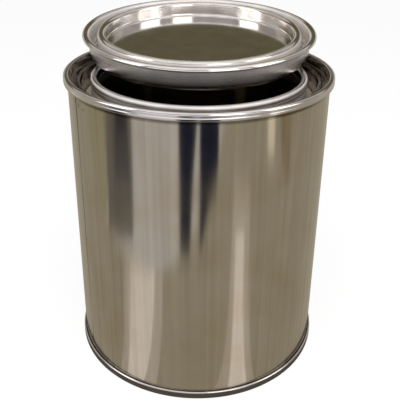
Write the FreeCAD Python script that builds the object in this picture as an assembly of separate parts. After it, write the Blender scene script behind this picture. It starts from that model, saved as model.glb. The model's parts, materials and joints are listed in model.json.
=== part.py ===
import FreeCAD, Part
import math
import os

# Quart friction-lid paint can of plain tinplate, in millimetres.
# The can stands on its lower seam at z = 0 and its axis is the Z axis. The plug lid has been pried
# out and lies on the mouth, pushed towards +Y, so it bears on the mouth curl and on the upper seam.
# Every stamping is a strip of sheet: its section is a centreline of straight runs, which is
# thickened by half the plate on each side and turned about the axis of the can. Bends are plain
# corners, or flats cut across them where they are wide.

# Overall sizes
CAN_HEIGHT = 123.83            # over both seams, 4 7/8 in
UPPER_SEAM_RADIUS = 53.98      # outside of the upper seam, 4 1/4 in across
PLATE = 0.26                   # thickness of the tinplate

# Double seams
UPPER_SEAM_HEIGHT = 3.2
LOWER_SEAM_HEIGHT = 3.3
UPPER_COMPOUND = 0.210         # thickness of the sealing compound between the upper hooks
LOWER_COMPOUND = 0.033
CHUCK_GAP = 0.05               # between the body wall and the wall of an end
HOOK_CROWN_GAP = 0.10          # between the turned edge of the body and the end that covers it
HOOK_TIP_GAP = 0.28            # between the cut edge of a hook and the bend it reaches into
COMPOUND_GAP = 0.02            # air left on each side of the sealing compound

# Welded side seam
WELD_WIDTH = 0.9
WELD_RISE = 0.10               # how far the mashed overlap stands out of the wall
WELD_ANGLE = 209.5             # about the axis, measured from +X
WELD_END_GAP = 0.4             # from each end of the raised weld to the seam
STRIPE_WIDTH = 11.0            # lacquer sprayed over the inside of the weld
STRIPE_THICKNESS = 0.06
STRIPE_GAP = 0.05              # between the lacquer and the wall behind it
STRIPE_END_GAP = 0.9           # from each end of the stripe to the countersink it stops at

# Bottom end
BOTTOM_CHANNEL_HEIGHT = 4.6    # countersink next to the seam, above the standing plane
BOTTOM_PANEL_HEIGHT = 3.9
BOTTOM_CHANNEL_WIDTH = 3.4
BOTTOM_STEP_RUN = 0.8          # how far the step from the channel to the panel slopes

# Friction ring: seam, countersink, ridge, groove, mouth curl
COUNTERSINK_DEPTH = 4.6        # all depths are below the top of the upper seam
RIDGE_DEPTH = 3.0
GROOVE_DEPTH = 11.9
CURL_DEPTH = 1.5
COUNTERSINK_WIDTH = 2.90       # floor between the wall of the end and the ridge
RIDGE_WIDTH = 1.51
GROOVE_WIDTH = 4.07            # between the ridge and the mouth curl
CURL_WIDTH = 2.6
CURL_HEIGHT = 3.9
CURL_CROWN = 1.55              # height of the rounded top of the curl
CROWN_FLATS = 5

# Plug lid: rim, leg, ridge, recessed panel. Its depths are below the top of its own rim
RIM_OVERHANG = 2.59            # how far the rim stands out past the top of the leg
RIM_HEIGHT = 1.75
RIM_LIP_REACH = 1.52           # how far the turned-in edge of the rim runs under it
LEG_DEPTH = 10.0
LID_RIDGE_CORNER = 0.75
LEG_TAPER = 0.25               # the outer wall of the leg leans in by this much
LEG_CORNER = 0.9               # of the flat between the outer wall of the leg and its foot
LID_FIT = 0.05                 # between the plug and the mouth curl, on both sides of the curl
LEG_FIT = 0.06                 # between the leg and the groove wall, where they are nearest
RECESS_WALL_DEPTH = 3.6        # to the small ledge part of the way down the recess
LEDGE_RUN = 1.72               # how far the ledge slopes in from the recess wall
LEDGE_DROP = 0.5
PANEL_RUN = 1.60               # how far the wall below the ledge leans in to the panel
PANEL_DEPTH = 7.0              # top face of the panel

# How the loose lid lies on the can
LID_OFFSET = 25.0              # centre of the lid's foot, from the axis of the can towards +Y
REST_GAP = 0.59                # height of the foot's plane above what it lies on, which leaves 0.3 of air

HALF = PLATE / 2
TURN = FreeCAD.Vector(0, 0, 1)
CENTRE = FreeCAD.Vector(0, 0, 0)

# A seam is three plates outside the body wall, each behind a gap that the compound sets
UPPER_LAYER = PLATE + UPPER_COMPOUND + 2 * COMPOUND_GAP
LOWER_LAYER = PLATE + LOWER_COMPOUND + 2 * COMPOUND_GAP
WALL_RADIUS = UPPER_SEAM_RADIUS - 3 * UPPER_LAYER
WALL_LINE = WALL_RADIUS - HALF
CHUCK_LINE = WALL_RADIUS - PLATE - CHUCK_GAP - HALF

# The ring steps in from its wall to the mouth, and the lid fits the ring
GROOVE_WALL_RADIUS = CHUCK_LINE - HALF - COUNTERSINK_WIDTH - RIDGE_WIDTH
MOUTH_RADIUS = GROOVE_WALL_RADIUS - GROOVE_WIDTH - CURL_WIDTH
LID_RADIUS = GROOVE_WALL_RADIUS - LEG_FIT + RIM_OVERHANG


def seam_layers(layer):
    """Centreline radii of the end hook, the body hook and the outer wall, one layer apart."""
    return tuple(WALL_LINE + step * layer for step in (1, 2, 3))


def hook_tip_depth():
    """How far the cut edge of an end hook stays from the outside of the seam, past the body's hook."""
    return 2 * PLATE + HOOK_CROWN_GAP + HOOK_TIP_GAP


def flattened(corners):
    """Points of a centreline. Each corner is radius, height and how far back its flat starts."""
    points = []
    for index, (radius, height, cut) in enumerate(corners):
        corner = FreeCAD.Vector(radius, 0, height)
        if cut == 0:
            points.append(corner)
            continue
        for near in (corners[index - 1], corners[index + 1]):
            along = FreeCAD.Vector(near[0] - radius, 0, near[1] - height).normalize()
            points.append(corner + along * cut)
    return points


def turned(points):
    """A closed section in the plane through the axis, turned once round the axis."""
    return Part.Face(Part.makePolygon(points + points[:1])).revolve(CENTRE, TURN, 360)


def stamped(corners):
    """A sheet of the plate's thickness along the centreline, turned once round the axis."""
    points = flattened(corners)
    runs = [(end - start).normalize() for start, end in zip(points, points[1:])]
    across = [FreeCAD.Vector(-run.z, 0, run.x) for run in runs]
    steps = [across[0]]
    for before, after in zip(across, across[1:]):
        steps.append((before + after) / (1 + before.dot(after)))
    steps.append(across[-1])
    upper = [point + step * HALF for point, step in zip(points, steps)]
    lower = [point - step * HALF for point, step in zip(points, steps)]
    return turned(upper + lower[::-1])


def sleeve(inside, outside, low, high):
    """A plain ring between two radii and two heights."""
    outer = Part.makeCylinder(outside, high - low, FreeCAD.Vector(0, 0, low))
    inner = Part.makeCylinder(inside, high - low, FreeCAD.Vector(0, 0, low))
    return outer.cut(inner)


def upright_strip(inside, outside, low, high, width, angle):
    """A strip of the given width that follows the round wall and stands at an angle about the axis."""
    sweep = math.degrees(width / outside)
    corners = [(inside, low), (outside, low), (outside, high), (inside, high), (inside, low)]
    section = Part.Face(Part.makePolygon([FreeCAD.Vector(radius, 0, z) for radius, z in corners]))
    strip = section.revolve(CENTRE, TURN, sweep)
    strip.rotate(CENTRE, TURN, angle - sweep / 2)
    return strip


def body():
    """Rolled wall with a hook turned out at each edge and the weld that closes it."""
    lower_hook = seam_layers(LOWER_LAYER)[1]
    upper_hook = seam_layers(UPPER_LAYER)[1]
    lower_crown = PLATE + HOOK_CROWN_GAP + HALF
    upper_crown = CAN_HEIGHT - lower_crown
    wall = stamped([
        (lower_hook, LOWER_SEAM_HEIGHT - PLATE - HOOK_TIP_GAP, 0),
        (lower_hook, lower_crown, 0),
        (WALL_LINE, lower_crown, 0),
        (WALL_LINE, upper_crown, 0),
        (upper_hook, upper_crown, 0),
        (upper_hook, CAN_HEIGHT - UPPER_SEAM_HEIGHT + PLATE + HOOK_TIP_GAP, 0),
    ])
    weld = upright_strip(
        WALL_LINE,
        WALL_RADIUS + WELD_RISE,
        LOWER_SEAM_HEIGHT + WELD_END_GAP,
        CAN_HEIGHT - UPPER_SEAM_HEIGHT - WELD_END_GAP,
        WELD_WIDTH,
        WELD_ANGLE,
    )
    return wall.fuse(weld).removeSplitter()


def bottom_end():
    """Lower end: outer wall and hook of the seam, countersink channel and panel."""
    end_hook, _, outer_wall = seam_layers(LOWER_LAYER)
    channel_inside = CHUCK_LINE - BOTTOM_CHANNEL_WIDTH
    return stamped([
        (end_hook, hook_tip_depth(), 0),
        (end_hook, LOWER_SEAM_HEIGHT - HALF, 0),
        (outer_wall, LOWER_SEAM_HEIGHT - HALF, 0),
        (outer_wall, HALF, 0),
        (CHUCK_LINE, HALF, 0),
        (CHUCK_LINE, BOTTOM_CHANNEL_HEIGHT, 0),
        (channel_inside, BOTTOM_CHANNEL_HEIGHT, 0),
        (channel_inside - BOTTOM_STEP_RUN, BOTTOM_PANEL_HEIGHT, 0),
        (0, BOTTOM_PANEL_HEIGHT, 0),
    ])


def mouth_curl():
    """Edge of the ring rolled up on itself round the mouth, closed, so it is modelled solid."""
    top = CAN_HEIGHT - CURL_DEPTH
    foot = top - CURL_HEIGHT
    outside = MOUTH_RADIUS + CURL_WIDTH
    rise = CURL_CROWN / math.cos(math.pi / 2 / CROWN_FLATS)
    crown = []
    for step in range(CROWN_FLATS + 1):
        angle = math.pi * step / CROWN_FLATS
        crown.append(FreeCAD.Vector(
            curl_middle() + CURL_WIDTH / 2 * math.cos(angle),
            0,
            top - CURL_CROWN + rise * math.sin(angle),
        ))
    return turned([FreeCAD.Vector(MOUTH_RADIUS, 0, foot), FreeCAD.Vector(outside, 0, foot)] + crown)


def friction_ring():
    """Upper end of the can: seam, countersink, ridge, friction groove and the curl round the mouth."""
    end_hook, _, outer_wall = seam_layers(UPPER_LAYER)
    seam_foot = CAN_HEIGHT - UPPER_SEAM_HEIGHT + HALF
    countersink = CAN_HEIGHT - COUNTERSINK_DEPTH
    ridge = CAN_HEIGHT - RIDGE_DEPTH - HALF
    groove_wall = GROOVE_WALL_RADIUS + HALF
    ridge_back = GROOVE_WALL_RADIUS + RIDGE_WIDTH - HALF
    groove_floor = CAN_HEIGHT - GROOVE_DEPTH - HALF
    curl_wall = MOUTH_RADIUS + CURL_WIDTH - HALF
    sheet = stamped([
        (end_hook, CAN_HEIGHT - hook_tip_depth(), 0),
        (end_hook, seam_foot, 0),
        (outer_wall, seam_foot, 0),
        (outer_wall, CAN_HEIGHT - HALF, 0),
        (CHUCK_LINE, CAN_HEIGHT - HALF, 0),
        (CHUCK_LINE, countersink, 0),
        (ridge_back, countersink, 0),
        (ridge_back, ridge, 0),
        (groove_wall, ridge, 0),
        (groove_wall, groove_floor, 0),
        (curl_wall, groove_floor, 0),
        (curl_wall, CAN_HEIGHT - CURL_DEPTH - CURL_HEIGHT / 2, 0),
    ])
    return sheet.fuse(mouth_curl()).removeSplitter()


def curl_middle():
    """Radius of the top of the mouth curl, which the ridge of the lid is centred over."""
    return MOUTH_RADIUS + CURL_WIDTH / 2


def leg_walls():
    """Centreline radii of the leg: outer wall at the rim, outer wall at the foot, inner wall."""
    at_rim = GROOVE_WALL_RADIUS - LEG_FIT - HALF
    inner = MOUTH_RADIUS + CURL_WIDTH + LID_FIT + HALF
    return at_rim, at_rim - LEG_TAPER, inner


def plug_lid():
    """Plug lid in its own frame, with the top of the rim at height 0: rim, leg, ridge, panel."""
    rim_outside = LID_RADIUS - HALF
    leg_at_rim, leg_at_foot, leg_inner = leg_walls()
    recess_wall = MOUTH_RADIUS - LID_FIT - HALF
    ledge = recess_wall - LEDGE_RUN
    foot = HALF - LEG_DEPTH
    panel = -PANEL_DEPTH - HALF
    return stamped([
        (rim_outside - RIM_LIP_REACH, HALF - RIM_HEIGHT, 0),
        (rim_outside, HALF - RIM_HEIGHT, 0),
        (rim_outside, -HALF, 0),
        (leg_at_rim, -HALF, 0),
        (leg_at_foot, foot, LEG_CORNER),
        (leg_inner, foot, 0),
        (leg_inner, -HALF, LID_RIDGE_CORNER),
        (recess_wall, -HALF, LID_RIDGE_CORNER),
        (recess_wall, -RECESS_WALL_DEPTH, 0),
        (ledge, -RECESS_WALL_DEPTH - LEDGE_DROP, 0),
        (ledge - PANEL_RUN, panel, 0),
        (0, panel, 0),
    ])


def lay_on_can(lid):
    """Tilt the lid and set its foot on the mouth curl in front and on the upper seam behind."""
    foot_radius = sum(leg_walls()[1:]) / 2
    seam_middle = (seam_layers(UPPER_LAYER)[2] + CHUCK_LINE) / 2
    curl_top = CAN_HEIGHT - CURL_DEPTH

    def crossing(circle):
        """Distance along Y at which the foot crosses a circle about the axis of the can."""
        return (circle ** 2 - foot_radius ** 2 + LID_OFFSET ** 2) / (2 * LID_OFFSET)

    front = crossing(curl_middle())
    back = crossing(seam_middle)
    tilt = math.atan2(CAN_HEIGHT - curl_top, back - front)
    foot_height = curl_top + REST_GAP + (LID_OFFSET - front) * math.tan(tilt)
    lid.rotate(CENTRE, FreeCAD.Vector(1, 0, 0), math.degrees(tilt))
    lid.translate(FreeCAD.Vector(
        0,
        LID_OFFSET - LEG_DEPTH * math.sin(tilt),
        foot_height + LEG_DEPTH * math.cos(tilt),
    ))
    return lid


def seam_compound(layer, seam_height):
    """Sealing compound between the end hook and the body hook, over the middle third of a seam."""
    end_hook, body_hook, _ = seam_layers(layer)
    inside = end_hook + HALF + COMPOUND_GAP
    outside = body_hook - HALF - COMPOUND_GAP
    return sleeve(inside, outside, seam_height / 3, 2 * seam_height / 3)


def upper_seam_compound():
    """Compound between the upper hooks, over the height where they overlap."""
    compound = seam_compound(UPPER_LAYER, UPPER_SEAM_HEIGHT)
    compound.translate(FreeCAD.Vector(0, 0, CAN_HEIGHT - UPPER_SEAM_HEIGHT))
    return compound


def lower_seam_compound():
    """Compound between the lower hooks, over the height where they overlap."""
    return seam_compound(LOWER_LAYER, LOWER_SEAM_HEIGHT)


def side_stripe():
    """Lacquer stripe over the inside of the weld."""
    wall_face = WALL_RADIUS - PLATE - STRIPE_GAP
    return upright_strip(
        wall_face - STRIPE_THICKNESS,
        wall_face,
        BOTTOM_CHANNEL_HEIGHT + STRIPE_END_GAP,
        CAN_HEIGHT - COUNTERSINK_DEPTH - STRIPE_END_GAP,
        STRIPE_WIDTH,
        WELD_ANGLE,
    )


def main():
    nodes = {
        "body": body(),
        "bottom_end": bottom_end(),
        "friction_ring": friction_ring(),
        "plug_lid": lay_on_can(plug_lid()),
        "upper_seam_compound": upper_seam_compound(),
        "lower_seam_compound": lower_seam_compound(),
        "side_stripe": side_stripe(),
    }
    os.makedirs("parts", exist_ok=True)
    for name, shape in nodes.items():
        shape.exportStep("parts/" + name + ".step")
        box = shape.BoundBox
        print(name, shape.isValid(), len(shape.Solids), round(shape.Volume, 1),
              [round(value, 2) for value in (box.XMin, box.YMin, box.ZMin, box.XMax, box.YMax, box.ZMax)])


main()
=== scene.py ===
import json
import math

import bmesh
import bpy
from bpy.props import FloatProperty, FloatVectorProperty, IntProperty, PointerProperty
from mathutils import Matrix, Vector


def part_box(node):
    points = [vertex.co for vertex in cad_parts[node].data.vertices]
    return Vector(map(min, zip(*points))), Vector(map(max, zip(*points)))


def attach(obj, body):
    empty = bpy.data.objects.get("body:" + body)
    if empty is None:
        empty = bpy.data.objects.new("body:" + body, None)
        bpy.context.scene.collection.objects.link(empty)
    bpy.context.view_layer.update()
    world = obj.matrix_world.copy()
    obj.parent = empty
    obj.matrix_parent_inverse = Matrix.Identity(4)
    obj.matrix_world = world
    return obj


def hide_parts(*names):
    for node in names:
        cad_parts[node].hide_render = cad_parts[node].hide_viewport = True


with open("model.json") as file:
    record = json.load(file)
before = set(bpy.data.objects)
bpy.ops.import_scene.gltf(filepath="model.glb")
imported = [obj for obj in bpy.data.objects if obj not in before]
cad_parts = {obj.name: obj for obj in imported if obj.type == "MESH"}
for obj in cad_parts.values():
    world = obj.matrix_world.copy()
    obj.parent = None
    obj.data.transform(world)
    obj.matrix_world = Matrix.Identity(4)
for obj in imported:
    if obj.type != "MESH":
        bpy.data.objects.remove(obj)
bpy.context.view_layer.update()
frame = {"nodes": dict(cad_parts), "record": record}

mounts = {mount["name"]: mount for mount in frame["record"]["mounts"]}

bl_info = {
    "name": "Friction-lid paint can",
    "version": (1, 0, 0),
    "blender": (4, 5, 0),
    "location": "View3D > Sidebar > Paint can",
    "description": "Dresses a quart friction-lid can of bare tinplate and sets its stage",
    "category": "Add Mesh",
}

_, RING_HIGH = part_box("friction_ring")
_, BOTTOM_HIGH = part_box("bottom_end")
MM = 0.001

# Meshes: points closer than this are one, and a bend and the weld have this many faces across
MERGE_DISTANCE = 1e-7
BEND_FACES = 6
WELD_FACES = 4

# A hairpin of the sheet is this many bend radii wide, which leaves a narrow flat between its two bends
HAIRPIN_WIDTH = 2.05

# Seams, in metres, as the solids have them. Every bend is the radius of the sheet's middle
UPPER_SEAM_HEIGHT = 3.2 * MM
LOWER_SEAM_HEIGHT = 3.3 * MM
CHUCK_GAP = 0.05 * MM
HOOK_CROWN_GAP = 0.10 * MM
HOOK_TIP_GAP = 0.28 * MM
WELD_WIDTH = 0.9 * MM
WELD_RISE = 0.10 * MM
WELD_END_GAP = 0.4 * MM
WELD_ANGLE = math.radians(209.5)

# Bottom end
BOTTOM_CHANNEL_HEIGHT = 4.6 * MM
BOTTOM_CHANNEL_WIDTH = 3.4 * MM
BOTTOM_PANEL_HEIGHT = 3.9 * MM
BOTTOM_STEP_RUN = 0.8 * MM
BOTTOM_FOOT_BEND = 0.45 * MM
BOTTOM_CHUCK_BEND = 0.30 * MM
BOTTOM_CHANNEL_BEND = 0.9 * MM
BOTTOM_STEP_BEND = 0.5 * MM

# Upper seam: a shoulder at its foot and its top, and a slight waist between them
SHOULDER_HEIGHT = 1.0 * MM
SHOULDER_BEND = 0.5 * MM
SEAM_WAIST = 0.14 * MM
WAIST_BEND = 0.8 * MM
CROWN_BEND = 0.8 * MM
CHUCK_BEND = 0.35 * MM

# Friction ring
COUNTERSINK_DEPTH = 4.6 * MM
RIDGE_DEPTH = 3.0 * MM
RIDGE_WIDTH = 1.51 * MM
GROOVE_DEPTH = 11.9 * MM
GROOVE_WALL = 47.47 * MM
CURL_DEPTH = 1.5 * MM
CURL_WIDTH = 2.6 * MM
CURL_HEIGHT = 3.9 * MM
COUNTERSINK_BEND = 0.75 * MM
RIDGE_FOOT_BEND = 0.70 * MM
GROOVE_BEND = 1.0 * MM

# Plug lid
RIM_HEIGHT = 1.75 * MM
RIM_LIP_REACH = 1.52 * MM
LEG_DEPTH = 10 * MM
LEG_TAPER = 0.01 * MM
LEG_FIT = 0.06 * MM
LID_FIT = 0.05 * MM
PANEL_DEPTH = 6.1 * MM
RIM_LIP_BEND = 0.40 * MM
RIM_BEND = 1.10 * MM
LEG_TOP_BEND = 1.20 * MM
LEG_FOOT_BEND = 1.4 * MM
LEG_INNER_BEND = 1.0 * MM
RECESS_BEND = 1.2 * MM

# Cards that only gloss sees, as flags and reflectors stand in a studio, in mm; the foot card among them
# is a painted shadow. The flat ones lie on the floor or hang overhead: colour, height and corners
# The foot card is a painted shadow: a dark ring on the floor round the can that stands in for its
# contact shadow where the metal reflects the floor
FOOT_SHADOW_RADIUS = 57.3
FOOT_SHADOW_CORNERS = 48
FOOT_SHADOW_CIRCLE = [
    (FOOT_SHADOW_RADIUS * math.cos(angle), FOOT_SHADOW_RADIUS * math.sin(angle))
    for angle in (corner / FOOT_SHADOW_CORNERS * 2 * math.pi for corner in range(FOOT_SHADOW_CORNERS))]
FLAT_CARDS = (
    ("table", (0.42, 0.385, 0.31), 0.04, ((-840, 560), (660, -760), (1980, 740), (480, 2060))),
    ("beyond", (0.64, 0.62, 0.62), 0.02, ((-840, 560), (660, -760), (-330, -1885), (-1830, -565))),
    ("olive_left", (0.39, 0.36, 0.26), 0.05, ((-164, -35), (-539, 295), (-1000, 100), (-560, -135))),
    ("grey_left", (0.18, 0.17, 0.16), 0.052, ((-155, -41), (-123, -102), (-406, -274), (-485, -68))),
    ("grey_left_core", (0.095, 0.095, 0.105), 0.056,
     ((-201, -77), (-176, -123), (-426, -241), (-471, -135))),
    ("dark_left_core", (0.012, 0.012, 0.022), 0.058,
     ((-255, -103), (-233, -146), (-433, -230), (-467, -147))),
    ("dark_left", (0.010, 0.013, 0.034), 0.05,
     ((-35, -152), (-16, -155), (-16, -205), (-14, -226), (-9, -256), (-4, -290), (-1, -319),
      (0, -520), (-150, -500))),
    ("dark_right", (0.010, 0.013, 0.034), 0.05,
     ((4, -155), (24, -188), (54, -212), (68, -243), (77, -279), (87, -305), (146, -498), (5, -520))),
    ("pale_left_edge", (0.60, 0.555, 0.51), 0.055, ((-119, -73), (-59, -124), (-20, -54), (-38, -43))),
    ("pale_left", (0.92, 0.86, 0.84), 0.06, ((-111, -85), (-72, -117), (-26, -51), (-35, -46))),
    ("pale_right_edge", (0.58, 0.53, 0.47), 0.055, ((9, -57), (29, -50), (141, -162), (101, -190))),
    ("pale_right", (0.95, 0.89, 0.84), 0.06, ((15, -55), (25, -52), (99, -138), (82, -149))),
    ("glint_right", (1.0, 0.93, 0.78), 0.06, ((200, -137), (215, -114), (440, -230), (415, -275))),
    ("brown_right", (0.31, 0.25, 0.17), 0.06, ((205, -70), (215, -45), (330, -69), (304, -132))),
    # Painted shadow: the dark foot ring stands in for the can's contact shadow in reflections
    ("foot", (0.085, 0.078, 0.06), 0.08, FOOT_SHADOW_CIRCLE),
    ("overhead", (0.95, 0.92, 0.92), 1500, ((-900, -700), (900, -700), (900, 400), (-900, 400))),
)

# The upright ones are the walls of a room, with the windows just inside them: colour, both ends of the
# lower edge, and the heights of the lower and the upper edge
ROOM_SIDE = 1200
ROOM_BACK = 700
ROOM_FRONT = -1100
ROOM_TOP = 1500
WINDOW_GAP = 10
WINDOW_SIDE = ROOM_SIDE - WINDOW_GAP
WINDOW_FRONT = ROOM_FRONT + WINDOW_GAP
WINDOW_LIGHT = (2.4, 2.4, 2.45)
BACK_ENDS = ((-ROOM_SIDE, ROOM_BACK), (ROOM_SIDE, ROOM_BACK))
FRONT_ENDS = ((-ROOM_SIDE, ROOM_FRONT), (ROOM_SIDE, ROOM_FRONT))
UPRIGHT_CARDS = (
    ("back_low", (0.50, 0.48, 0.47), *BACK_ENDS, 0, 310),
    ("back_high", (0.105, 0.092, 0.052), *BACK_ENDS, 310, 540),
    ("back_top", (0.50, 0.48, 0.46), *BACK_ENDS, 540, ROOM_TOP),
    ("front_low", (1.0, 0.97, 0.97), *FRONT_ENDS, 0, 400),
    ("front_high", (0.42, 0.40, 0.40), *FRONT_ENDS, 400, 1150),
    ("side_left", (0.36, 0.35, 0.34), (-ROOM_SIDE, ROOM_FRONT), (-ROOM_SIDE, ROOM_BACK), 0, ROOM_TOP),
    ("side_right", (0.36, 0.35, 0.34), (ROOM_SIDE, ROOM_FRONT), (ROOM_SIDE, ROOM_BACK), 0, ROOM_TOP),
    ("window_left", WINDOW_LIGHT, (-WINDOW_SIDE, -800), (-WINDOW_SIDE, -100), 200, 1450),
    ("window_right", WINDOW_LIGHT, (WINDOW_SIDE, -800), (WINDOW_SIDE, -100), 200, 1450),
    ("window_front", WINDOW_LIGHT, (200, WINDOW_FRONT), (800, WINDOW_FRONT), 200, 1450),
)

# Rolled plate. A range is the part of the noise that counts, and a share is what it gives at its ends
STREAK_DETAIL = 3
STREAK_RANGE = (0.3, 0.7)
STREAK_DARK = 0.90
STREAK_LIGHT = 1.08
SMUDGE_SCALE = 45
SMUDGE_DETAIL = 5
STAIN = (0.90, 0.84, 0.74, 1)
STAIN_RANGE = (0.45, 0.75)
STAIN_SHARE = (0, 0.8)
GLOSS_RANGE = (0.3, 0.75)
GLOSS_SMOOTH = 0.8
GLOSS_DULL = 1.3
RELIEF_STRENGTH = 0.03
RELIEF_DEPTH = 0.05 * MM
BODY_STREAK = (420, 420, 9)
BODY_STRETCH = 0.5
BODY_ROUGHNESS = 0.13
END_STREAK = (120, 120, 120)
BOTTOM_ROUGHNESS = 0.14
RING_ROUGHNESS = 0.13
LID_STREAK = (110, 110, 110)
LID_ROUGHNESS = 0.11

# Plate that slides over plate: share of dull film, its roughness, and where it lies on the curl and the
# top of the leg, from which it fades down the leg
RUBBED_FILM = 0.7
RUBBED_ROUGHNESS = 0.45
CURL_RUB_WIDTH = 0.6 * MM
CURL_RUB_RISE = 2 * MM
CURL_RUB_DROP = 0.3 * MM
LEG_RUB_MARGIN = 1 * MM
LEG_RUB_TOP = -0.5 * MM
LEG_RUB_FOOT = -3 * MM

# Painted shade in the crevices beside the seams, in a band under the upper seam and along the channel,
# and a little rust by the weld. The marks are whole within a part of their reach, then fade, and are
# thinner where the plate has no smudge
MARK_CORE = 0.3
MARK_RANGE = (0.35, 0.6)
MARK_SHARE = (0.55, 1)
PAINTED_SHADE = (0.22, 0.19, 0.15, 1)
SEAM_SHADE_REACH = 0.84 * MM
UNDER_SEAM_SHADE_DROP = 0.4 * MM
UNDER_SEAM_SHADE_REACH = 1.4 * MM
LOWER_SEAM_SHADE_REACH = 0.98 * MM
CHANNEL_SHADE_REACH = 1.0 * MM
RUST = (0.42, 0.24, 0.12, 1)
RUST_SPOTS = (
    ((-46.2 * MM, -26.0 * MM, 117.9 * MM), 1.2 * MM),
    ((-44.5 * MM, -28.6 * MM, 117.3 * MM), 1.5 * MM),
    ((-42.4 * MM, -31.6 * MM, 116.6 * MM), 1.1 * MM),
)

# Finishes of the solids that stay: colour and roughness
HIDDEN_FINISHES = (
    ("sealing compound", ("upper_seam_compound", "lower_seam_compound"), (0.32, 0.28, 0.22), 0.7),
    ("stripe lacquer", ("side_stripe",), (0.62, 0.50, 0.28), 0.3),
)
HIDDEN_GRAIN = 180
HIDDEN_SHADE = 0.75

# Camera
CAMERA_PLACE = (0, -247.66 * MM, 195.8 * MM)
CAMERA_PITCH = math.radians(24.55)
CAMERA_YAW = math.radians(0.16)
CAMERA_ROLL = math.radians(0.55)
CAMERA_LENS = 56.99
CAMERA_SHIFT = -0.10
SENSOR_WIDTH = 36

# Light
WORLD_LIGHT = 0.7
SOFTBOX_SIDE = 0.6
SOFTBOX_POWER = 8
SOFTBOX_PLACE = (0, -0.45, 1.0)
FLOOR_WHITE = 0.85
FLOOR_COLOUR = (0.95, 0.95, 0.95, 1)
FLOOR_ROUGHNESS = 0.9
FLOOR_REACH = 3


class CanSizes(bpy.types.PropertyGroup):
    """Sizes of the stampings, as the solids have them."""

    height: FloatProperty(
        name="Height", description="Over both seams", default=RING_HIGH.z, unit="LENGTH")
    upper_seam: FloatProperty(
        name="Upper seam", description="Outside radius of the upper seam",
        default=RING_HIGH.x, unit="LENGTH")
    lower_seam: FloatProperty(
        name="Lower seam", description="Outside radius of the lower seam",
        default=BOTTOM_HIGH.x, unit="LENGTH")
    mouth: FloatProperty(
        name="Mouth", description="Radius of the opening",
        default=mounts["mouth"]["dims"]["r_mm"] * MM, unit="LENGTH")
    plate: FloatProperty(
        name="Plate", description="Thickness of the tinplate", default=0.26 * MM, unit="LENGTH")
    wall: FloatProperty(
        name="Wall", description="Outside radius of the body wall", default=52.45 * MM,
        unit="LENGTH")
    lid: FloatProperty(
        name="Lid", description="Outside radius of the lid's rim", default=50 * MM, unit="LENGTH")
    turns: IntProperty(
        name="Segments", description="Faces round each stamping", default=192, min=48, max=256)


class CanFinish(bpy.types.PropertyGroup):
    """Colours of the bare plate."""

    body: FloatVectorProperty(
        name="Body", description="Plate of the body", default=(0.52, 0.475, 0.40), subtype="COLOR",
        min=0, max=1)
    ends: FloatVectorProperty(
        name="Ends", description="Plate of both ends", default=(0.75, 0.72, 0.72), subtype="COLOR",
        min=0, max=1)
    lid: FloatVectorProperty(
        name="Lid", description="Plate of the lid", default=(0.83, 0.80, 0.78), subtype="COLOR",
        min=0, max=1)


def settings():
    """The sizes and the colours that the panel shows."""
    return bpy.context.scene.can_sizes, bpy.context.scene.can_finish


def add_object(name, mesh):
    """Puts a bmesh into the scene as an object of its own."""
    data = bpy.data.meshes.new(name)
    mesh.to_mesh(data)
    mesh.free()
    added = bpy.data.objects.new(name, data)
    bpy.context.scene.collection.objects.link(added)
    return added


def stamping(name, corners, sizes, place=Matrix.Identity(4), rubbed=()):
    """A sheet turned round Z.

    Each corner is a radius, a height and the bend radius of the sheet's middle. Each rubbed zone is the
    two radii and the two heights between which the plate is dulled.
    """
    mesh = bmesh.new()
    points = [mesh.verts.new((radius, 0, height)) for radius, height, bend in corners]
    for pair in zip(points, points[1:]):
        mesh.edges.new(pair)
    for index in range(1, len(corners) - 1):
        bend = corners[index][2]
        if bend == 0:
            continue
        here, before, after = (Vector(corners[i][:2]) for i in (index, index - 1, index + 1))
        half_angle = (before - here).angle(after - here) / 2
        bmesh.ops.bevel(
            mesh, geom=[points[index]], offset=bend / math.tan(half_angle), offset_type="OFFSET",
            segments=BEND_FACES, profile=0.5, affect="VERTICES", material=-1)
    bmesh.ops.spin(
        mesh, geom=mesh.verts[:] + mesh.edges[:], cent=(0, 0, 0), axis=(0, 0, 1),
        angle=2 * math.pi, steps=sizes.turns, use_merge=True)
    bmesh.ops.remove_doubles(mesh, verts=mesh.verts[:], dist=MERGE_DISTANCE)
    bmesh.ops.recalc_face_normals(mesh, faces=mesh.faces[:])
    wear = mesh.verts.layers.float.new("rubbed")
    for near, far, low, high in rubbed:
        for vertex in mesh.verts:
            if near < vertex.co.xy.length < far and low < vertex.co.z < high:
                vertex[wear] = 1
    bmesh.ops.transform(mesh, matrix=place, verts=mesh.verts[:])
    for face in mesh.faces:
        face.smooth = True
    piece = add_object(name, mesh)
    wall = piece.modifiers.new("Plate", "SOLIDIFY")
    wall.thickness = sizes.plate
    wall.offset = 0
    wall.use_even_offset = True
    return piece


def finish_piece(piece, body, slot, material, *nodes):
    """Gives a piece its material, hides the solids it stands for and hangs it on the body it moves with.
    """
    piece.data.materials.append(material)
    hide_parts(*nodes)
    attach(piece, body)


def hairpin_bend(first, second):
    """Bend radius of the two corners that turn the sheet back from one radius to another."""
    return abs(first - second) / HAIRPIN_WIDTH


def seam_layers(outside, sizes):
    """Middle radii of the end hook, the body hook and the outer wall of a seam."""
    gap = (outside - sizes.wall - 3 * sizes.plate) / 3
    end_hook = sizes.wall + gap + sizes.plate / 2
    return end_hook, end_hook + sizes.plate + gap, outside - sizes.plate / 2


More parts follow.
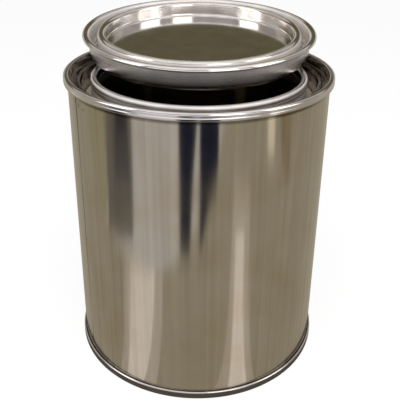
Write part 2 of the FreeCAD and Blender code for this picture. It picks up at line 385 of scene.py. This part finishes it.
def lid_place():
    """Turns and moves a lid that stands level, rim at height 0, to where the loose lid lies."""
    mesh = frame["nodes"]["plug_lid"].data
    panel = max(mesh.polygons, key=lambda face: face.area)
    up = panel.normal if panel.normal.z > 0 else -panel.normal
    turn = Vector((0, 0, 1)).rotation_difference(up).to_matrix()
    level = [turn.transposed() @ vertex.co for vertex in mesh.vertices]
    middle = [(min(p[axis] for p in level) + max(p[axis] for p in level)) / 2 for axis in (0, 1)]
    top = max(p.z for p in level)
    return Matrix.Translation(turn @ Vector((*middle, top))) @ turn.to_4x4()


def tinplate(name, colour, streak, rough, stretch=0, painted_shade_bands=(), rust=(), worn=False):
    """Bare plate: fine streaks of rolling, handling smudges and a little brown.

    Streak is how closely the streaks lie along each axis, and stretch draws the gloss out upright.
    Painted shade bands are the heights of the crevices and of the strip under the seam that are darkened
    as painted shade, and rust the places of its spots, each with its reach.
    Worn plate is dulled where its mesh says that it is rubbed.
    """
    material = bpy.data.materials.new(name)
    material.use_nodes = True
    tree = material.node_tree
    tree.nodes.clear()
    link = tree.links.new

    def node(kind, **values):
        made = tree.nodes.new(kind)
        for key, value in values.items():
            setattr(made, key, value)
        return made

    def noise(scale, detail, spacing=(1, 1, 1)):
        mapping = node("ShaderNodeMapping")
        mapping.inputs["Scale"].default_value = spacing
        link(place.outputs["Object"], mapping.inputs["Vector"])
        texture = node("ShaderNodeTexNoise")
        texture.inputs["Scale"].default_value = scale
        texture.inputs["Detail"].default_value = detail
        link(mapping.outputs["Vector"], texture.inputs["Vector"])
        return texture.outputs["Fac"]

    def spread(source, given, wanted):
        span = node("ShaderNodeMapRange")
        span.inputs["From Min"].default_value, span.inputs["From Max"].default_value = given
        span.inputs["To Min"].default_value, span.inputs["To Max"].default_value = wanted
        link(source, span.inputs["Value"])
        return span.outputs["Result"]

    # A Mix node takes its share on socket 0, numbers on 2 and 3, and colours on 6 and 7
    def blend(kind, under, over, share):
        mixed = node("ShaderNodeMix", data_type="RGBA", blend_type=kind)
        mixed.inputs[7].default_value = over
        link(share, mixed.inputs[0])
        if isinstance(under, tuple):
            mixed.inputs[6].default_value = under
        else:
            link(under, mixed.inputs[6])
        return mixed.outputs[2]

    place = node("ShaderNodeTexCoord")
    surface = node("ShaderNodeBsdfPrincipled")
    surface.inputs["Anisotropic"].default_value = stretch
    if stretch:
        upright = node("ShaderNodeCombineXYZ")
        upright.inputs["Z"].default_value = 1
        link(upright.outputs["Vector"], surface.inputs["Tangent"])
    output = node("ShaderNodeOutputMaterial")
    link(surface.outputs["BSDF"], output.inputs["Surface"])

    streaks = noise(1, STREAK_DETAIL, streak)
    smudges = noise(SMUDGE_SCALE, SMUDGE_DETAIL)
    dark = (*[part * STREAK_DARK for part in colour], 1)
    light = (*[min(1, part * STREAK_LIGHT) for part in colour], 1)
    tint = blend("MIX", dark, light, spread(streaks, STREAK_RANGE, (0, 1)))
    tint = blend("MULTIPLY", tint, STAIN, spread(smudges, STAIN_RANGE, STAIN_SHARE))
    height = node("ShaderNodeSeparateXYZ")
    link(place.outputs["Object"], height.inputs["Vector"])
    marks = []
    # Painted shade: the plate is darkened in bands round the given heights
    for level, reach in painted_shade_bands:
        above = node("ShaderNodeMath", operation="SUBTRACT")
        link(height.outputs["Z"], above.inputs[0])
        above.inputs[1].default_value = level
        away = node("ShaderNodeMath", operation="ABSOLUTE")
        link(above.outputs["Value"], away.inputs[0])
        marks.append((away.outputs["Value"], reach, PAINTED_SHADE))
    for spot, reach in rust:
        away = node("ShaderNodeVectorMath", operation="DISTANCE")
        link(place.outputs["Object"], away.inputs[0])
        away.inputs[1].default_value = spot
        marks.append((away.outputs["Value"], reach, RUST))
    for away, reach, shade in marks:
        patchy = node("ShaderNodeMath", operation="MULTIPLY")
        link(spread(away, (MARK_CORE * reach, reach), (1, 0)), patchy.inputs[0])
        link(spread(smudges, MARK_RANGE, MARK_SHARE), patchy.inputs[1])
        tint = blend("MULTIPLY", tint, shade, patchy.outputs["Value"])
    link(tint, surface.inputs["Base Color"])
    gloss = spread(smudges, GLOSS_RANGE, (rough * GLOSS_SMOOTH, rough * GLOSS_DULL))
    if worn:
        wear = node("ShaderNodeAttribute", attribute_name="rubbed")
        link(spread(wear.outputs["Fac"], (0, 1), (1, 1 - RUBBED_FILM)), surface.inputs["Metallic"])
        dulled = node("ShaderNodeMix")
        dulled.inputs[3].default_value = RUBBED_ROUGHNESS
        link(wear.outputs["Fac"], dulled.inputs[0])
        link(gloss, dulled.inputs[2])
        gloss = dulled.outputs[0]
    else:
        surface.inputs["Metallic"].default_value = 1
    link(gloss, surface.inputs["Roughness"])

    bump = node("ShaderNodeBump")
    bump.inputs["Strength"].default_value = RELIEF_STRENGTH
    bump.inputs["Distance"].default_value = RELIEF_DEPTH
    link(streaks, bump.inputs["Height"])
    link(bump.outputs["Normal"], surface.inputs["Normal"])
    return material


def white_to_the_eye(tree):
    """1 where the camera looks, also by way of gloss or glass, and 0 for light that falls on things."""
    path = tree.nodes.new("ShaderNodeLightPath")
    seen = path.outputs["Is Camera Ray"]
    for ray in ("Is Glossy Ray", "Is Transmission Ray"):
        either = tree.nodes.new("ShaderNodeMath")
        either.operation = "MAXIMUM"
        tree.links.new(seen, either.inputs[0])
        tree.links.new(path.outputs[ray], either.inputs[1])
        seen = either.outputs["Value"]
    return seen


class CAN_OT_body(bpy.types.Operator):
    """Rolled wall with both hooks, and the raised weld of its side seam"""

    bl_idname = "paint_can.body"
    bl_label = "Body"

    def execute(self, context):
        sizes, finish = settings()
        half = sizes.plate / 2
        line = sizes.wall - half
        lower = seam_layers(sizes.lower_seam, sizes)[1]
        upper = seam_layers(sizes.upper_seam, sizes)[1]
        crown = sizes.plate + HOOK_CROWN_GAP + half
        tip = sizes.plate + HOOK_TIP_GAP
        wall = stamping("can_body", [
            (lower, LOWER_SEAM_HEIGHT - tip, 0),
            (lower, crown, hairpin_bend(lower, line)),
            (line, crown, hairpin_bend(lower, line)),
            (line, sizes.height - crown, hairpin_bend(upper, line)),
            (upper, sizes.height - crown, hairpin_bend(upper, line)),
            (upper, sizes.height - UPPER_SEAM_HEIGHT + tip, 0),
        ], sizes)
        # Painted shade: a darker band just under the upper seam and one along the lower seam
        under_seam_shade = sizes.height - UPPER_SEAM_HEIGHT - UNDER_SEAM_SHADE_DROP
        plate = tinplate(
            "body tinplate", finish.body, BODY_STREAK, BODY_ROUGHNESS, BODY_STRETCH,
            painted_shade_bands=((under_seam_shade, UNDER_SEAM_SHADE_REACH), (LOWER_SEAM_HEIGHT, LOWER_SEAM_SHADE_REACH)),
            rust=RUST_SPOTS)
        finish_piece(wall, "can", "body_tinplate", plate, "body")

        mesh = bmesh.new()
        outside = sizes.wall + WELD_RISE
        low = LOWER_SEAM_HEIGHT + WELD_END_GAP
        high = sizes.height - UPPER_SEAM_HEIGHT - WELD_END_GAP
        corners = [mesh.verts.new((radius, 0, height)) for radius, height in (
            (line, low), (outside, low), (outside, high), (line, high))]
        section = mesh.faces.new(corners)
        sweep = WELD_WIDTH / outside
        turn = Matrix.Rotation(WELD_ANGLE - sweep / 2, 4, "Z")
        bmesh.ops.transform(mesh, matrix=turn, verts=mesh.verts[:])
        bmesh.ops.spin(
            mesh, geom=[section] + section.edges[:] + section.verts[:], cent=(0, 0, 0),
            axis=(0, 0, 1), angle=sweep, steps=WELD_FACES, use_merge=False)
        bmesh.ops.recalc_face_normals(mesh, faces=mesh.faces[:])
        weld = add_object("side_weld", mesh)
        weld.data.materials.append(plate)
        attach(weld, "can")
        return {"FINISHED"}


class CAN_OT_bottom(bpy.types.Operator):
    """Lower end: seam, countersink channel and stepped panel"""

    bl_idname = "paint_can.bottom"
    bl_label = "Bottom end"

    def execute(self, context):
        sizes, finish = settings()
        half = sizes.plate / 2
        hook, _, outer = seam_layers(sizes.lower_seam, sizes)
        chuck = sizes.wall - sizes.plate - CHUCK_GAP - half
        channel = chuck - BOTTOM_CHANNEL_WIDTH
        bend = hairpin_bend(outer, hook)
        end = stamping("bottom", [
            (hook, 2 * sizes.plate + HOOK_CROWN_GAP + HOOK_TIP_GAP, 0),
            (hook, LOWER_SEAM_HEIGHT - half, bend),
            (outer, LOWER_SEAM_HEIGHT - half, bend),
            (outer, half, BOTTOM_FOOT_BEND),
            (chuck, half, BOTTOM_CHUCK_BEND),
            (chuck, BOTTOM_CHANNEL_HEIGHT, BOTTOM_CHANNEL_BEND),
            (channel, BOTTOM_CHANNEL_HEIGHT, BOTTOM_STEP_BEND),
            (channel - BOTTOM_STEP_RUN, BOTTOM_PANEL_HEIGHT, BOTTOM_STEP_BEND),
            (0, BOTTOM_PANEL_HEIGHT, 0),
        ], sizes)
        plate = tinplate("end tinplate", finish.ends, END_STREAK, BOTTOM_ROUGHNESS)
        finish_piece(end, "can", "end_tinplate", plate, "bottom_end")
        return {"FINISHED"}


class CAN_OT_ring(bpy.types.Operator):
    """Upper end: seam, countersink, ridge, friction groove and mouth curl"""

    bl_idname = "paint_can.ring"
    bl_label = "Friction ring"

    def execute(self, context):
        sizes, finish = settings()
        half = sizes.plate / 2
        hook, _, outer = seam_layers(sizes.upper_seam, sizes)
        chuck = sizes.wall - sizes.plate - CHUCK_GAP - half
        top = sizes.height - half
        foot = sizes.height - UPPER_SEAM_HEIGHT + half
        sink = sizes.height - COUNTERSINK_DEPTH
        ridge = sizes.height - RIDGE_DEPTH - half
        groove = sizes.height - GROOVE_DEPTH - half
        curl_top = sizes.height - CURL_DEPTH - half
        curl_foot = sizes.height - CURL_DEPTH - CURL_HEIGHT + half
        ridge_in = GROOVE_WALL + half
        ridge_out = GROOVE_WALL + RIDGE_WIDTH - half
        curl_out = sizes.mouth + CURL_WIDTH - half
        curl_in = sizes.mouth + half
        curl_bend = hairpin_bend(curl_out, curl_in)
        ridge_bend = hairpin_bend(ridge_out, ridge_in)
        hook_bend = hairpin_bend(outer, hook)
        ring = stamping("ring", [
            (hook, sizes.height - 2 * sizes.plate - HOOK_CROWN_GAP - HOOK_TIP_GAP, 0),
            (hook, foot, hook_bend),
            (outer, foot, hook_bend),
            (outer, foot + SHOULDER_HEIGHT, WAIST_BEND),
            (outer - SEAM_WAIST, (foot + top) / 2, WAIST_BEND),
            (outer, top - SHOULDER_HEIGHT, SHOULDER_BEND),
            (outer, top, CROWN_BEND),
            (chuck, top, CHUCK_BEND),
            (chuck, sink, COUNTERSINK_BEND),
            (ridge_out, sink, RIDGE_FOOT_BEND),
            (ridge_out, ridge, ridge_bend),
            (ridge_in, ridge, ridge_bend),
            (ridge_in, groove, GROOVE_BEND),
            (curl_out, groove, GROOVE_BEND),
            (curl_out, curl_top, curl_bend),
            (curl_in, curl_top, curl_bend),
            (curl_in, curl_foot, curl_bend),
            (curl_out - 3 * half, curl_foot, 0),
        ], sizes, rubbed=(
            (curl_out - CURL_RUB_WIDTH, curl_out + half,
             groove + CURL_RUB_RISE, curl_top - CURL_RUB_DROP),
        ))
        # Painted shade at the foot of the upper seam and along the countersink channel
        plate = tinplate(
            "ring tinplate", finish.ends, END_STREAK, RING_ROUGHNESS,
            painted_shade_bands=((sizes.height - UPPER_SEAM_HEIGHT, SEAM_SHADE_REACH), (sink, CHANNEL_SHADE_REACH)),
            worn=True)
        finish_piece(ring, "can", "end_tinplate", plate, "friction_ring")
        return {"FINISHED"}


class CAN_OT_lid(bpy.types.Operator):
    """Loose plug lid: rim, leg, ridge and recessed panel"""

    bl_idname = "paint_can.lid"
    bl_label = "Plug lid"

    def execute(self, context):
        sizes, finish = settings()
        half = sizes.plate / 2
        rim = sizes.lid - half
        leg = GROOVE_WALL - LEG_FIT - half
        leg_in = sizes.mouth + CURL_WIDTH + LID_FIT + half
        recess = sizes.mouth - LID_FIT - half
        ridge_bend = hairpin_bend(leg_in, recess)
        panel = -PANEL_DEPTH - half
        lid = stamping("lid", [
            (rim - RIM_LIP_REACH, half - RIM_HEIGHT, 0),
            (rim, half - RIM_HEIGHT, RIM_LIP_BEND),
            (rim, -half, RIM_BEND),
            (leg, -half, LEG_TOP_BEND),
            (leg - LEG_TAPER, half - LEG_DEPTH, LEG_FOOT_BEND),
            (leg_in, half - LEG_DEPTH, LEG_INNER_BEND),
            (leg_in, -half, ridge_bend),
            (recess, -half, ridge_bend),
            (recess, panel, RECESS_BEND),
            (0, panel, 0),
        ], sizes, lid_place(), rubbed=(
            (leg_in + LEG_RUB_MARGIN, leg + LEG_RUB_MARGIN, LEG_RUB_FOOT, LEG_RUB_TOP),
            (leg_in - half, leg_in + LEG_RUB_MARGIN, LEG_RUB_FOOT, 0),
        ))
        plate = tinplate("lid tinplate", finish.lid, LID_STREAK, LID_ROUGHNESS, worn=True)
        finish_piece(lid, "lid", "lid_tinplate", plate, "plug_lid")
        return {"FINISHED"}


class CAN_OT_hidden(bpy.types.Operator):
    """Finishes of the solids that stay: sealing compound and the stripe over the weld"""

    bl_idname = "paint_can.hidden"
    bl_label = "Compound and stripe"

    def execute(self, context):
        for name, nodes, colour, rough in HIDDEN_FINISHES:
            material = bpy.data.materials.new(name)
            material.use_nodes = True
            tree = material.node_tree
            surface = tree.nodes["Principled BSDF"]
            surface.inputs["Roughness"].default_value = rough
            place = tree.nodes.new("ShaderNodeTexCoord")
            texture = tree.nodes.new("ShaderNodeTexNoise")
            texture.inputs["Scale"].default_value = HIDDEN_GRAIN
            ramp = tree.nodes.new("ShaderNodeValToRGB")
            ramp.color_ramp.elements[0].color = (*[part * HIDDEN_SHADE for part in colour], 1)
            ramp.color_ramp.elements[1].color = (*colour, 1)
            tree.links.new(place.outputs["Object"], texture.inputs["Vector"])
            tree.links.new(texture.outputs["Fac"], ramp.inputs["Fac"])
            tree.links.new(ramp.outputs["Color"], surface.inputs["Base Color"])
            for node in nodes:
                frame["nodes"][node].data.materials.clear()
                frame["nodes"][node].data.materials.append(material)
        return {"FINISHED"}


def light_studio(scene):
    """A world that is white to look at and softer as light, and a softbox that gloss doesn't see."""
    world = bpy.data.worlds.new("Studio")
    scene.world = world
    world.use_nodes = True
    tree = world.node_tree
    background = tree.nodes["Background"]
    background.inputs["Color"].default_value = (1, 1, 1, 1)
    strength = tree.nodes.new("ShaderNodeMapRange")
    strength.inputs["To Min"].default_value = WORLD_LIGHT
    tree.links.new(white_to_the_eye(tree), strength.inputs["Value"])
    tree.links.new(strength.outputs["Result"], background.inputs["Strength"])

    lamp = bpy.data.lights.new("softbox", "AREA")
    lamp.size = SOFTBOX_SIDE
    lamp.energy = SOFTBOX_POWER
    softbox = bpy.data.objects.new("softbox", lamp)
    softbox.location = SOFTBOX_PLACE
    softbox.visible_glossy = False
    scene.collection.objects.link(softbox)


def lay_floor():
    """A matt floor that takes shadows and is nearly white to look at."""
    mesh = bmesh.new()
    bmesh.ops.create_grid(mesh, x_segments=1, y_segments=1, size=FLOOR_REACH)
    floor = add_object("floor", mesh)
    white = bpy.data.materials.new("floor white")
    white.use_nodes = True
    tree = white.node_tree
    matt = tree.nodes["Principled BSDF"]
    matt.inputs["Base Color"].default_value = FLOOR_COLOUR
    matt.inputs["Roughness"].default_value = FLOOR_ROUGHNESS
    glow = tree.nodes.new("ShaderNodeEmission")
    mixed = tree.nodes.new("ShaderNodeMixShader")
    share = tree.nodes.new("ShaderNodeMath")
    share.operation = "MULTIPLY"
    share.inputs[1].default_value = FLOOR_WHITE
    tree.links.new(white_to_the_eye(tree), share.inputs[0])
    tree.links.new(share.outputs["Value"], mixed.inputs["Fac"])
    tree.links.new(matt.outputs["BSDF"], mixed.inputs[1])
    tree.links.new(glow.outputs["Emission"], mixed.inputs[2])
    tree.links.new(mixed.outputs["Shader"], tree.nodes["Material Output"].inputs["Surface"])
    floor.data.materials.append(white)


def put_card(name, colour, corners):
    """A glowing card, its corners in mm, that shows in gloss and lights nothing else."""
    mesh = bmesh.new()
    mesh.faces.new([mesh.verts.new(Vector(corner) * MM) for corner in corners])
    card = add_object(name, mesh)
    paint = bpy.data.materials.new(name)
    paint.use_nodes = True
    tree = paint.node_tree
    tree.nodes.clear()
    glow = tree.nodes.new("ShaderNodeEmission")
    glow.inputs["Color"].default_value = (*colour, 1)
    output = tree.nodes.new("ShaderNodeOutputMaterial")
    tree.links.new(glow.outputs["Emission"], output.inputs["Surface"])
    card.data.materials.append(paint)
    card.visible_camera = False
    card.visible_diffuse = False
    card.visible_shadow = False


def set_camera(scene):
    """The camera stands in front of the can and looks down into its mouth."""
    camera = bpy.data.cameras.new("camera")
    camera.sensor_width = SENSOR_WIDTH
    camera.lens = CAMERA_LENS
    camera.shift_y = CAMERA_SHIFT
    view = bpy.data.objects.new("camera", camera)
    scene.collection.objects.link(view)
    pitch = Matrix.Rotation(math.pi / 2 - CAMERA_PITCH, 4, "X")
    ahead = Matrix.Rotation(-CAMERA_YAW, 4, "Z") @ pitch
    roll = Matrix.Rotation(CAMERA_ROLL, 4, "Z")
    view.matrix_world = Matrix.Translation(CAMERA_PLACE) @ ahead @ roll
    scene.camera = view


class CAN_OT_stage(bpy.types.Operator):
    """Pale floor, soft lamps, cards and the camera"""

    bl_idname = "paint_can.stage"
    bl_label = "Stage"

    def execute(self, context):
        context.scene.view_settings.view_transform = "Standard"
        light_studio(context.scene)
        lay_floor()
        for name, colour, height, corners in FLAT_CARDS:
            put_card(name, colour, [(*corner, height) for corner in corners])
        for name, colour, start, end, low, high in UPRIGHT_CARDS:
            put_card(name, colour, [(*start, low), (*end, low), (*end, high), (*start, high)])
        set_camera(context.scene)
        return {"FINISHED"}


class CAN_PT_panel(bpy.types.Panel):
    """Sizes, finishes and pieces of the can"""

    bl_idname = "CAN_PT_panel"
    bl_label = "Paint can"
    bl_space_type = "VIEW_3D"
    bl_region_type = "UI"
    bl_category = "Paint can"

    def draw(self, context):
        for group in (context.scene.can_sizes, context.scene.can_finish):
            for prop in group.bl_rna.properties:
                if prop.identifier not in {"rna_type", "name"}:
                    self.layout.prop(group, prop.identifier)
        for operator in STEPS:
            self.layout.operator(operator.bl_idname)


STEPS = (CAN_OT_body, CAN_OT_bottom, CAN_OT_ring, CAN_OT_lid, CAN_OT_hidden, CAN_OT_stage)
CLASSES = (CanSizes, CanFinish, *STEPS, CAN_PT_panel)


def register():
    for item in CLASSES:
        bpy.utils.register_class(item)
    bpy.types.Scene.can_sizes = PointerProperty(type=CanSizes)
    bpy.types.Scene.can_finish = PointerProperty(type=CanFinish)


def unregister():
    del bpy.types.Scene.can_finish
    del bpy.types.Scene.can_sizes
    for item in reversed(CLASSES):
        bpy.utils.unregister_class(item)


def main():
    register()
    for operator in STEPS:
        group, name = operator.bl_idname.split(".")
        getattr(getattr(bpy.ops, group), name)()


if __name__ == "__main__":
    main()
